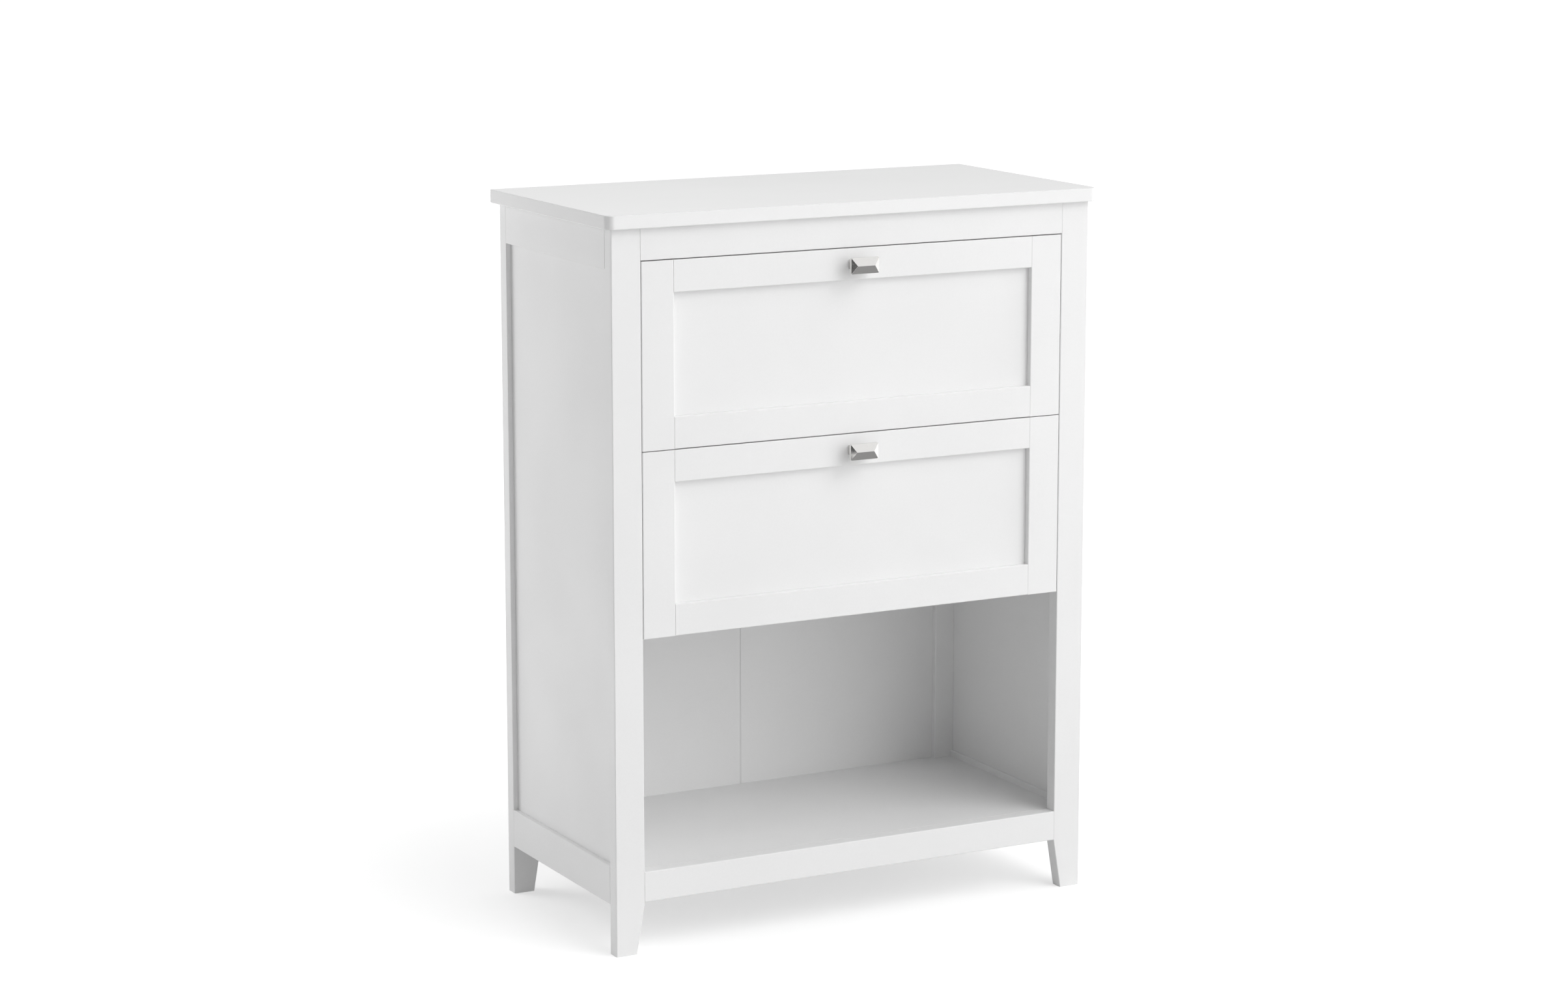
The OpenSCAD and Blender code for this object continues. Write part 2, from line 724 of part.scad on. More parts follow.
// Fixed to the batten: a front stop for the cage and a rear stop for the drawer's runner
module outer_runner(level, side) color(ZINC) placed() on_side(side) difference() {
    runner_frame(level) {
        runner_length(runner_front_y, runner_back_y) outer_section();
        block([sheet_t / 2, runner_front_y, -cage_stop_h / 2],
              [sheet_t + cage_t + 2 * cage_gap, runner_front_y + stop_t, cage_stop_h / 2]);
        block([sheet_t / 2, runner_back_y - rear_stop_t, -rear_stop_h / 2],
              [runner_d - rear_stop_fit, runner_back_y, rear_stop_h / 2]);
    }
    outer_runner_screws(level, hole_fit);
}

// Fixed to the drawer side: two small tabs at its rear drive the cage home
module inner_runner(level, side) color(ZINC) placed() on_side(side) difference() {
    runner_frame(level) {
        runner_length(runner_front_y, inner_runner_back_y) inner_section();
        for (s = [-1, 1]) translate([0, 0, s * (race_v - drive_tab_inset)])
            block([sheet_t + cage_gap, inner_runner_back_y - stop_t, -drive_tab_h / 2],
                  [race_u - race_r - sheet_t / 2, inner_runner_back_y, drive_tab_h / 2]);
    }
    inner_runner_screws(level, hole_fit);
}

module ball_places(level) {
    for (s = [-1, 1]) for (i = [0:balls_per_row - 1])
        runner_frame(level)
            translate([race_u, cage_front_y + cage_end + i * ball_pitch, s * race_v]) children();
}

module ball_cages(level) color(ZINC) placed() for (side = [LEFT, RIGHT]) on_side(side)
    difference() {
        runner_frame(level)
            runner_length(cage_front_y, cage_back_y) cage_section();
        ball_places(level) sphere(d = ball_d + 2 * hole_fit);
    }

module balls(level) color(NICKEL) placed() for (side = [LEFT, RIGHT]) on_side(side)
    ball_places(level) sphere(d = ball_d);

module runner_screws() color(ZINC) placed() for (side = [LEFT, RIGHT]) on_side(side)
    for (level = LEVELS) outer_runner_screws(level);

// ---- Drawers ----

// The slot behind the front, and in the box sides, that the drawer bottom slides into
module bottom_slot(level) {
    z = box_z(level) + bottom_lift;
    half = box_inner_x + bottom_slot_d;
    block([-half, front_back_y - bottom_slot_d, z - panel_fit],
          [half, box_end_y + past, z + bottom_t + panel_fit]);
}

function box_cam_points(level) =
    [for (z = box_cam_zs) [box_outer_x - box_t / 2, front_back_y, box_z(level) + z]];

module front_stile(level, side) color(PAINT) placed() difference() {
    z = front_z(level);
    on_side(side)
        bar([front_inner_x, -half_d, z], [front_half_w, front_back_y, z + front_h], "z");
    on_side(side) block([front_inner_x - past, front_panel_y - panel_fit, z - past],
                        [front_inner_x + front_groove_d, front_panel_y + front_panel_t + panel_fit,
                         z + front_h + past]);
    on_side(side) for (p = box_cam_points(level)) box_cam_frame(p) cam_bolt_hole(box_cam_reach);
    bottom_slot(level);
}

// Rail low edge, with tongues that fill the stiles' grooves
module front_rail(level, z, panel_above) {
    tongue = front_inner_x + front_groove_d - seam_fit;
    groove = panel_above ? z + front_rail_h - front_groove_d : z - past;
    difference() {
        union() {
            bar([-front_inner_x, -half_d, z],
                [front_inner_x, front_back_y, z + front_rail_h], "x");
            block([-tongue, front_panel_y, z],
                  [tongue, front_panel_y + front_panel_t, z + front_rail_h]);
        }
        block([-front_inner_x - front_groove_d, front_panel_y - panel_fit, groove],
              [front_inner_x + front_groove_d, front_panel_y + front_panel_t + panel_fit,
               groove + front_groove_d + past]);
        bottom_slot(level);
    }
}

module front_top_rail(level) color(PAINT) placed() difference() {
    front_rail(level, front_z(level) + front_h - front_rail_h, false);
    knob_screw_frame(level) knob_screw(hole_fit);
}

module front_bottom_rail(level) color(PAINT) placed() front_rail(level, front_z(level), true);

module front_panel(level) color(PAINT) placed() {
    half = front_inner_x + front_groove_d - end_fit;
    edge = front_rail_h - front_groove_d + end_fit;
    block([-half, front_panel_y, front_z(level) + edge],
          [half, front_panel_y + front_panel_t, front_z(level) + front_h - edge]);
}

module box_screws(level, grow = 0) {
    for (side = [LEFT, RIGHT]) on_side(side) for (z = box_screw_zs)
        translate([box_outer_x, box_end_y - box_t / 2, box_z(level) + z])
            rotate(TOWARDS_MIDDLE_X) flat_screw(box_screw, grow);
}

module box_side(level, side) color(RAW_BOARD) placed() on_side(side) difference() {
    block([box_inner_x, front_back_y, box_z(level)],
          [box_outer_x, box_end_y, box_z(level) + box_h]);
    bottom_slot(level);
    box_screws(level, hole_fit);
    inner_runner_screws(level, hole_fit);
    for (p = box_cam_points(level)) box_cam_frame(p) cam_hole(box_cam_reach, box_t);
}

module box_back(level) color(RAW_BOARD) placed() difference() {
    block([-box_inner_x, box_end_y - box_t, box_z(level) + bottom_lift + bottom_t + panel_fit],
          [box_inner_x, box_end_y, box_z(level) + box_h]);
    box_screws(level, hole_fit);
}

module box_bottom(level) color(RAW_BOARD) placed() {
    half = box_inner_x + bottom_slot_d - end_fit;
    z = box_z(level) + bottom_lift;
    block([-half, front_back_y - bottom_slot_d + end_fit, z], [half, box_end_y, z + bottom_t]);
}

module knob_screw_frame(level) {
    translate([0, front_back_y, knob_z(level)]) rotate(TOWARDS_MIDDLE_Y) children();
}

// Knob machine screw, drawer side cams and bolts, box screws and runner screws of one drawer
module drawer_fasteners(level) color(ZINC) placed() {
    knob_screw_frame(level) knob_screw();
    box_screws(level);
    for (side = [LEFT, RIGHT]) on_side(side) {
        inner_runner_screws(level);
        for (p = box_cam_points(level)) box_cam_frame(p) {
            cam_bolt(box_cam_reach);
            cam(box_cam_reach, box_t);
        }
    }
}

// Hipped head: the long faces meet in a ridge and the ends slope up to it
module knob_head() {
    rim = knob_rim_t;
    full = knob_rim_t + knob_rise;
    intersection() {
        linear_extrude(full) rounded_plate(knob_w, knob_h, knob_corner_r);
        translate([-knob_w / 2, 0, 0]) rotate([90, 0, 90]) linear_extrude(knob_w)
            polygon([[-knob_h / 2, 0], [knob_h / 2, 0], [knob_h / 2, rim], [0, full],
                     [-knob_h / 2, rim]]);
        translate([0, knob_h / 2, 0]) rotate([90, 0, 0]) linear_extrude(knob_h)
            polygon([[-knob_w / 2, 0], [knob_w / 2, 0], [knob_w / 2, rim], [knob_ridge / 2, full],
                     [-knob_ridge / 2, full], [-knob_w / 2, rim]]);
    }
}

module knob(level) color(NICKEL) placed() difference() {
    translate([0, -half_d, knob_z(level)]) rotate([90, 0, 0]) {
        linear_extrude(stem_l + eps) rounded_plate(stem_w, stem_h, stem_corner_r);
        translate([0, 0, stem_l]) knob_head();
    }
    knob_screw_frame(level) cylinder(d = knob_screw_d + 2 * hole_fit,
                                     h = front_t + knob_screw_grip + end_fit);
}

top_board();
leg(LEFT, FRONT);  // front_left_leg
leg(RIGHT, FRONT);  // front_right_leg
leg(LEFT, BACK);  // back_left_leg
leg(RIGHT, BACK);  // back_right_leg
cross_rail(FRONT, top_rail);  // front_top_rail
cross_rail(FRONT, bottom_rail);  // front_bottom_rail
cross_rail(BACK, top_rail);  // back_top_rail
cross_rail(BACK, bottom_rail);  // back_bottom_rail
side_rail(LEFT, side_top_rail);  // left_side_top_rail
side_rail(LEFT, side_bottom_rail);  // left_side_bottom_rail
side_panel(LEFT);  // left_side_panel
side_rail(RIGHT, side_top_rail);  // right_side_top_rail
side_rail(RIGHT, side_bottom_rail);  // right_side_bottom_rail
side_panel(RIGHT);  // right_side_panel
bottom_board();
middle_board();
back_panel(LEFT);  // back_left_panel
back_panel(RIGHT);  // back_right_panel
back_joint_strip();
runner_battens(LEFT);  // left_runner_battens
runner_battens(RIGHT);  // right_runner_battens
outer_runner(UPPER, LEFT);  // upper_left_outer_runner
outer_runner(UPPER, RIGHT);  // upper_right_outer_runner
outer_runner(LOWER, LEFT);  // lower_left_outer_runner
outer_runner(LOWER, RIGHT);  // lower_right_outer_runner
dowels();
cams();
cam_bolts();
runner_screws();
front_stile(UPPER, LEFT);  // upper_front_left_stile
front_stile(UPPER, RIGHT);  // upper_front_right_stile
front_top_rail(UPPER);  // upper_front_top_rail
front_bottom_rail(UPPER);  // upper_front_bottom_rail
front_panel(UPPER);  // upper_front_panel
box_side(UPPER, LEFT);  // upper_box_left_side
box_side(UPPER, RIGHT);  // upper_box_right_side
box_back(UPPER);  // upper_box_back
box_bottom(UPPER);  // upper_box_bottom
inner_runner(UPPER, LEFT);  // upper_left_inner_runner
inner_runner(UPPER, RIGHT);  // upper_right_inner_runner
knob(UPPER);  // upper_knob
drawer_fasteners(UPPER);  // upper_drawer_fasteners
ball_cages(UPPER);  // upper_ball_cages
balls(UPPER);  // upper_balls
front_stile(LOWER, LEFT);  // lower_front_left_stile
front_stile(LOWER, RIGHT);  // lower_front_right_stile
front_top_rail(LOWER);  // lower_front_top_rail
front_bottom_rail(LOWER);  // lower_front_bottom_rail
front_panel(LOWER);  // lower_front_panel
box_side(LOWER, LEFT);  // lower_box_left_side
box_side(LOWER, RIGHT);  // lower_box_right_side
box_back(LOWER);  // lower_box_back
box_bottom(LOWER);  // lower_box_bottom
inner_runner(LOWER, LEFT);  // lower_left_inner_runner
inner_runner(LOWER, RIGHT);  // lower_right_inner_runner
knob(LOWER);  // lower_knob
drawer_fasteners(LOWER);  // lower_drawer_fasteners
ball_cages(LOWER);  // lower_ball_cages
balls(LOWER);  // lower_balls
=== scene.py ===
"""Looks for the bathroom storage tower: finishes, knob edges, studio and camera.

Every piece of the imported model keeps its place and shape. Each sub-assembly below dresses its own
pieces in finishes that are made of shader nodes, and the knobs' sharp edges are broken by
modifiers. The studio is a pale floor under soft light. Lengths are in metres, in the frame of the
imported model.
"""

import logging
import math
from collections.abc import Iterable
from dataclasses import dataclass, field
from enum import Enum

import bpy
from mathutils import Euler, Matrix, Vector

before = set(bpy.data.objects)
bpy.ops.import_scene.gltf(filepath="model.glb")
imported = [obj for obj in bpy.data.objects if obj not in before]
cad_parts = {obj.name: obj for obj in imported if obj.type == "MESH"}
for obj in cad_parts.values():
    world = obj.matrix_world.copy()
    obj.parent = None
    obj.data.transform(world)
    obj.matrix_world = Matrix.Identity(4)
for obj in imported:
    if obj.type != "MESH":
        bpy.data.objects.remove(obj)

Colour = tuple[float, float, float, float]

MM = 0.001
WHITE: Colour = (1.0, 1.0, 1.0, 1.0)
LOG = logging.getLogger("tower")
SIDES = ("left", "right")
ENDS = ("front", "back")
HEIGHTS = ("top", "bottom")
LEVELS = ("upper", "lower")

# The Mix node's colour sockets, which share their names with its other sockets
MIX_FIRST, MIX_SECOND, MIX_RESULT = 6, 7, 2

# Nearly all of a noise texture's values lie in the wide span, and most in the narrow one
NOISE_WIDE = (0.3, 0.7)
NOISE_NARROW = (0.35, 0.65)

# The share of a grey's warmth that its green loses, where its blue loses all of it
GREEN_LOSS = 0.4


class FinishName(Enum):
    """The finishes of the tower, one material each."""

    PAINT = "satin_paint"
    TOP_PAINT = "top_board_lacquer"
    FOIL = "board_foil"
    STRIP = "strip_plastic"
    PLATED = "plated_steel"
    CAST = "cast_zinc"
    BALLS = "ball_steel"
    NICKEL = "brushed_nickel"
    BEECH = "turned_beech"
    SCREWS = "zinc_screws"


class Softness(Enum):
    """How much of each sharp edge a piece loses, in metres."""

    NONE = 0.0
    METAL = 0.12 * MM


class NodeBench:
    """Adds nodes to one node tree and joins them."""

    def __init__(self, tree: bpy.types.NodeTree) -> None:
        """Keeps the tree that every call works on.

        Args:
            tree: A shader node tree.
        """
        self.tree = tree

    def add(self, kind: str, **settings: object) -> bpy.types.Node:
        """Adds a node.

        Args:
            kind: The node's type name in Blender.
            settings: Properties of the node, such as operation="MULTIPLY".

        Returns:
            The new node.
        """
        node = self.tree.nodes.new(kind)
        for name, value in settings.items():
            setattr(node, name, value)
        return node

    def join(self, source: bpy.types.NodeSocket, target: bpy.types.NodeSocket) -> None:
        """Joins an output socket to an input socket."""
        self.tree.links.new(source, target)

    def fill(self, target: bpy.types.NodeSocket, value: object) -> None:
        """Joins an input to a socket, or sets it where the value is plain.

        Args:
            target: The input socket.
            value: An output socket, a number, a vector or a colour.
        """
        if isinstance(value, bpy.types.NodeSocket):
            self.join(value, target)
        else:
            target.default_value = value

    def feed(self, node: bpy.types.Node, **inputs: object) -> None:
        """Sets or joins a node's inputs by name, where an underscore stands for a space.

        Args:
            node: The node whose inputs are fed.
            inputs: A socket to join, or a plain value to set, for each input.
        """
        for name, value in inputs.items():
            self.fill(node.inputs[name.replace("_", " ")], value)

    def math(self, operation: str, first: object, second: object) -> bpy.types.NodeSocket:
        """Adds a math node.

        Args:
            operation: The operation's name in Blender.
            first: A socket or a number.
            second: A socket or a number.

        Returns:
            The node's result.
        """
        node = self.add("ShaderNodeMath", operation=operation)
        self.fill(node.inputs[0], first)
        self.fill(node.inputs[1], second)
        return node.outputs[0]

    def span(
        self, value: bpy.types.NodeSocket, low: float, high: float, to_low: object, to_high: object
    ) -> bpy.types.NodeSocket:
        """Maps a value from one span to another, clamped at both ends.

        Args:
            value: The value to map.
            low: The value that becomes to_low.
            high: The value that becomes to_high.
            to_low: A socket or a number.
            to_high: A socket or a number.

        Returns:
            The mapped value.
        """
        node = self.add("ShaderNodeMapRange", interpolation_type="SMOOTHSTEP")
        self.feed(node, Value=value, From_Min=low, From_Max=high, To_Min=to_low, To_Max=to_high)
        return node.outputs["Result"]

    def noise(
        self, place: bpy.types.NodeSocket, scale: object, detail: float
    ) -> bpy.types.NodeSocket:
        """Adds a noise texture.

        Args:
            place: Where in space the noise is read.
            scale: A socket or a number, in features to the metre.
            detail: The number of finer layers.

        Returns:
            The noise, which lies mostly between 0.3 and 0.7.
        """
        node = self.add("ShaderNodeTexNoise")
        self.feed(node, Vector=place, Scale=scale, Detail=detail)
        return node.outputs["Fac"]

    def blend(
        self, share: bpy.types.NodeSocket, first: object, second: object
    ) -> bpy.types.NodeSocket:
        """Mixes two colours.

        Args:
            share: The share of the second colour, from 0 to 1.
            first: A socket or a colour.
            second: A socket or a colour.

        Returns:
            The mixed colour.
        """
        node = self.add("ShaderNodeMix", data_type="RGBA")
        self.join(share, node.inputs["Factor"])
        self.fill(node.inputs[MIX_FIRST], first)
        self.fill(node.inputs[MIX_SECOND], second)
        return node.outputs[MIX_RESULT]


class Effect:
    """A shader node group with named sockets, built once and placed where finishes ask for it."""

    name = "effect"
    inputs: tuple[tuple[str, str, object], ...] = ()
    outputs: tuple[tuple[str, str], ...] = ()

    def __init__(self) -> None:
        """Builds the group's sockets and its nodes."""
        self.tree = bpy.data.node_groups.new(self.name, "ShaderNodeTree")
        for label, kind, value in self.inputs:
            socket = self.tree.interface.new_socket(label, in_out="INPUT", socket_type=kind)
            if value is not None:
                socket.default_value = value
        for label, kind in self.outputs:
            self.tree.interface.new_socket(label, in_out="OUTPUT", socket_type=kind)
        bench = NodeBench(self.tree)
        source = bench.add("NodeGroupInput")
        target = bench.add("NodeGroupOutput")
        self.wire(bench, source.outputs, target.inputs)

    def wire(
        self,
        bench: NodeBench,
        given: bpy.types.NodeOutputs,
        result: bpy.types.NodeInputs,
    ) -> None:
        """Makes the nodes between the group's inputs and its outputs.

        Args:
            bench: The bench that works on the group's tree.
            given: The group's inputs by name.
            result: The group's outputs by name.
        """
        raise NotImplementedError


class CloudTone(Effect):
    """Two close tones in soft clouds, as sprayed paint or foil shows in flat light."""

    name = "Cloud tone"
    inputs = (
        ("Place", "NodeSocketVector", None),
        ("Clouds per metre", "NodeSocketFloat", 6.0),
        ("Light tone", "NodeSocketColor", (0.9, 0.9, 0.9, 1.0)),
        ("Shade tone", "NodeSocketColor", (0.8, 0.8, 0.8, 1.0)),
    )
    outputs = (("Tone", "NodeSocketColor"),)
    speckle_scale = 90.0
    speckle_share = 0.35
    shade_span = (0.5, 0.85)

    def wire(
        self,
        bench: NodeBench,
        given: bpy.types.NodeOutputs,
        result: bpy.types.NodeInputs,
    ) -> None:
        """Mixes the tones by a broad noise with a little fine speckle in it.

        Args:
            bench: The bench that works on the group's tree.
            given: The group's inputs by name.
            result: The group's outputs by name.
        """
        broad = bench.noise(given["Place"], given["Clouds per metre"], detail=3.0)
        fine_scale = bench.math("MULTIPLY", given["Clouds per metre"], self.speckle_scale)
        fine = bench.noise(given["Place"], fine_scale, detail=1.0)
        mixed = bench.math("ADD", broad, bench.math("MULTIPLY", fine, self.speckle_share))
        cloud = bench.span(mixed, *self.shade_span, 0.0, 1.0)
        bench.join(bench.blend(cloud, given["Light tone"], given["Shade tone"]), result["Tone"])


class SprayedSkin(Effect):
    """The fine waves that a sprayed coat dries with, and the sheen that varies over them."""

    name = "Sprayed skin"
    inputs = (
        ("Place", "NodeSocketVector", None),
        ("Waves per metre", "NodeSocketFloat", 420.0),
        ("Sheen low", "NodeSocketFloat", 0.3),
        ("Sheen high", "NodeSocketFloat", 0.4),
    )
    outputs = (("Height", "NodeSocketFloat"), ("Roughness", "NodeSocketFloat"))
    wide_scale = 0.18
    wide_share = 1.6
    sheen_scale = 0.025

    def wire(
        self,
        bench: NodeBench,
        given: bpy.types.NodeOutputs,
        result: bpy.types.NodeInputs,
    ) -> None:
        """Adds broad waves, fine waves and a slow change of sheen.

        Args:
            bench: The bench that works on the group's tree.
            given: The group's inputs by name.
            result: The group's outputs by name.
        """
        waves = bench.noise(given["Place"], given["Waves per metre"], detail=1.5)
        wide_scale = bench.math("MULTIPLY", given["Waves per metre"], self.wide_scale)
        wide = bench.noise(given["Place"], wide_scale, detail=1.0)
        height = bench.math("ADD", waves, bench.math("MULTIPLY", wide, self.wide_share))
        bench.join(height, result["Height"])
        slow_scale = bench.math("MULTIPLY", given["Waves per metre"], self.sheen_scale)
        slow = bench.noise(given["Place"], slow_scale, detail=4.0)
        sheen = bench.span(slow, *NOISE_NARROW, given["Sheen low"], given["Sheen high"])
        bench.join(sheen, result["Roughness"])


class BrushedLines(Effect):
    """Fine lines that all run one way, as brushing or rolling leaves them."""

    name = "Brushed lines"
    inputs = (
        ("Place", "NodeSocketVector", None),
        ("Lines per metre", "NodeSocketVector", (2500.0, 2500.0, 2500.0)),
        ("Sheen low", "NodeSocketFloat", 0.25),
        ("Sheen high", "NodeSocketFloat", 0.4),
    )
    outputs = (
        ("Lines", "NodeSocketFloat"),
        ("Height", "NodeSocketFloat"),
        ("Roughness", "NodeSocketFloat"),
    )

    def wire(
        self,
        bench: NodeBench,
        given: bpy.types.NodeOutputs,
        result: bpy.types.NodeInputs,
    ) -> None:
        """Stretches a fine noise along the brushing.

        Args:
            bench: The bench that works on the group's tree.
            given: The group's inputs by name.
            result: The group's outputs by name.
        """
        stretched = bench.add("ShaderNodeVectorMath", operation="MULTIPLY")
        bench.join(given["Place"], stretched.inputs[0])
        bench.join(given["Lines per metre"], stretched.inputs[1])
        lines = bench.noise(stretched.outputs[0], 1.0, detail=3.0)
        bench.join(lines, result["Height"])
        bench.join(bench.span(lines, *NOISE_NARROW, 0.0, 1.0), result["Lines"])
        sheen = bench.span(lines, *NOISE_WIDE, given["Sheen low"], given["Sheen high"])
        bench.join(sheen, result["Roughness"])


class MetalBloom(Effect):
    """The patches that plated or cast zinc shows: flat crystals with a faint bloom over them."""

    name = "Metal bloom"
    inputs = (
        ("Place", "NodeSocketVector", None),
        ("Crystals per metre", "NodeSocketFloat", 350.0),
        ("Bright tone", "NodeSocketColor", (0.7, 0.7, 0.72, 1.0)),
        ("Dull tone", "NodeSocketColor", (0.5, 0.5, 0.52, 1.0)),
    )
    outputs = (("Tone", "NodeSocketColor"),)
    smoothness = 0.4
    cell_share = 0.45
    broad_scale = 0.12
    bloom_span = (0.45, 1.0)

    def wire(
        self,
        bench: NodeBench,
        given: bpy.types.NodeOutputs,
        result: bpy.types.NodeInputs,
    ) -> None:
        """Mixes the tones by crystal cells and a broad noise.

        Args:
            bench: The bench that works on the group's tree.
            given: The group's inputs by name.
            result: The group's outputs by name.
        """
        cells = bench.add("ShaderNodeTexVoronoi", feature="SMOOTH_F1")
        bench.feed(cells, Vector=given["Place"], Scale=given["Crystals per metre"])
        bench.feed(cells, Smoothness=self.smoothness)
        cell = bench.add("ShaderNodeRGBToBW")
        bench.join(cells.outputs["Color"], cell.inputs[0])
        broad_scale = bench.math("MULTIPLY", given["Crystals per metre"], self.broad_scale)
        broad = bench.noise(given["Place"], broad_scale, detail=4.0)
        weighed = bench.math("MULTIPLY", cell.outputs[0], self.cell_share)
        bloom = bench.span(bench.math("ADD", weighed, broad), *self.bloom_span, 0.0, 1.0)
        bench.join(bench.blend(bloom, given["Bright tone"], given["Dull tone"]), result["Tone"])


class BeechFigure(Effect):
    """Beech with its growth lines and its short dark ray flecks."""

    name = "Beech figure"
    inputs = (
        ("Place", "NodeSocketVector", None),
        ("Pale wood", "NodeSocketColor", (0.7, 0.5, 0.32, 1.0)),
        ("Dark wood", "NodeSocketColor", (0.5, 0.32, 0.18, 1.0)),
    )
    outputs = (("Tone", "NodeSocketColor"), ("Height", "NodeSocketFloat"))
    growth_scale = (90.0, 900.0, 900.0)
    growth_share = 0.7
    fleck_scale = 2600.0
    fleck_span = (0.58, 0.7)
    fleck_share = 0.6

    def wire(
        self,
        bench: NodeBench,
        given: bpy.types.NodeOutputs,
        result: bpy.types.NodeInputs,
    ) -> None:
        """Mixes the woods by stretched growth lines and flecks.

        Args:
            bench: The bench that works on the group's tree.
            given: The group's inputs by name.
            result: The group's outputs by name.
        """
        along = bench.add("ShaderNodeVectorMath", operation="MULTIPLY")
        bench.join(given["Place"], along.inputs[0])
        along.inputs[1].default_value = self.growth_scale
        growth = bench.noise(along.outputs[0], 1.0, detail=3.0)
        flecks = bench.noise(given["Place"], self.fleck_scale, detail=1.0)
        fleck = bench.span(flecks, *self.fleck_span, 0.0, self.fleck_share)
        lines = bench.span(growth, *NOISE_NARROW, 0.0, self.growth_share)
        figure = bench.math("ADD", lines, fleck)
        bench.join(bench.blend(figure, given["Pale wood"], given["Dark wood"]), result["Tone"])
        bench.join(growth, result["Height"])


@dataclass(frozen=True)
class Finish:
    """A finish that becomes one material.

    Attributes:
        light: The lighter of its two tones.
        shade: The darker of its two tones.
        sheen_low: The lowest roughness.
        sheen_high: The highest roughness.
    """

    light: Colour
    shade: Colour
    sheen_low: float
    sheen_high: float

    def make(self, name: FinishName, effects: "EffectBook") -> bpy.types.Material:
        """Builds the material.

        Args:
            name: The material's name.
            effects: The shared effects.

        Returns:
            The new material, ready for a slot.
        """
        material = bpy.data.materials.new(name.value)
        material.use_nodes = True
        material.node_tree.nodes.clear()
        bench = NodeBench(material.node_tree)
        output = bench.add("ShaderNodeOutputMaterial")
        shader = bench.add("ShaderNodeBsdfPrincipled")
        place = bench.add("ShaderNodeTexCoord").outputs["Object"]
        self.dress(bench, shader, place, effects)
        bench.join(shader.outputs["BSDF"], output.inputs["Surface"])
        return material

    def dress(
        self,
        bench: NodeBench,
        shader: bpy.types.Node,
        place: bpy.types.NodeSocket,
        effects: "EffectBook",
    ) -> None:
        """Feeds the shader with the finish's own colours, sheen and relief.

        Args:
            bench: The bench that works on the material's tree.
            shader: The material's Principled BSDF.
            place: The coordinates of the piece itself.
            effects: The shared effects.
        """
        raise NotImplementedError

    def relief(
        self,
        bench: NodeBench,
        shader: bpy.types.Node,
        height: bpy.types.NodeSocket,
        depth: float,
    ) -> None:
        """Gives the shader a relief.

        Args:
            bench: The bench that works on the material's tree.
            shader: The material's Principled BSDF.
            height: The relief's height, from 0 to about 1.
            depth: The relief's depth in metres.
        """
        bump = bench.add("ShaderNodeBump")
        bench.feed(bump, Strength=1.0, Distance=depth, Height=height)
        bench.join(bump.outputs["Normal"], shader.inputs["Normal"])


@dataclass(frozen=True)
class SprayedPaint(Finish):
    """Sprayed white paint on fibreboard, satin or polished.

    Attributes:
        waves: Waves of the sprayed skin to the metre.
        wave_depth: How deep the waves are, in metres.
        clouds: Clouds of the two tones to the metre.
    """

    waves: float
    wave_depth: float
    clouds: float = 5.0

    def dress(
        self,
        bench: NodeBench,
        shader: bpy.types.Node,
        place: bpy.types.NodeSocket,
        effects: "EffectBook",
    ) -> None:
        """Clouds the white faintly and lays the sprayed skin over it.

        Args:
            bench: The bench that works on the material's tree.
            shader: The material's Principled BSDF.
            place: The coordinates of the piece itself.
            effects: The shared effects.
        """
        tone = effects.place(bench, CloudTone)
        bench.feed(tone, Place=place, Clouds_per_metre=self.clouds, Light_tone=self.light)
        bench.feed(tone, Shade_tone=self.shade)
        skin = effects.place(bench, SprayedSkin)
        bench.feed(skin, Place=place, Waves_per_metre=self.waves)
        bench.feed(skin, Sheen_low=self.sheen_low, Sheen_high=self.sheen_high)
        bench.feed(shader, Base_Color=tone.outputs["Tone"], Roughness=skin.outputs["Roughness"])
        self.relief(bench, shader, skin.outputs["Height"], self.wave_depth)


@dataclass(frozen=True)
class LinedWhite(Finish):
    """White foil or plastic with fine lines: the pores printed in the one, the other's die marks.

    Attributes:
        clouds: Clouds of the two tones to the metre.
        lines: Lines to the metre along X, Y and Z, lowest along the lines.
        line_depth: The depth of a line, in metres.
    """

    clouds: float
    lines: tuple[float, float, float]
    line_depth: float

    def dress(
        self,
        bench: NodeBench,
        shader: bpy.types.Node,
        place: bpy.types.NodeSocket,
        effects: "EffectBook",
    ) -> None:
        """Clouds the white and draws the lines.

        Args:
            bench: The bench that works on the material's tree.
            shader: The material's Principled BSDF.
            place: The coordinates of the piece itself.
            effects: The shared effects.
        """
        tone = effects.place(bench, CloudTone)
        bench.feed(tone, Place=place, Clouds_per_metre=self.clouds, Light_tone=self.light)
        bench.feed(tone, Shade_tone=self.shade)
        lines = effects.place(bench, BrushedLines)
        bench.feed(lines, Place=place, Lines_per_metre=self.lines)
        bench.feed(lines, Sheen_low=self.sheen_low, Sheen_high=self.sheen_high)
        bench.feed(shader, Base_Color=tone.outputs["Tone"], Roughness=lines.outputs["Roughness"])
        self.relief(bench, shader, lines.outputs["Height"], self.line_depth)


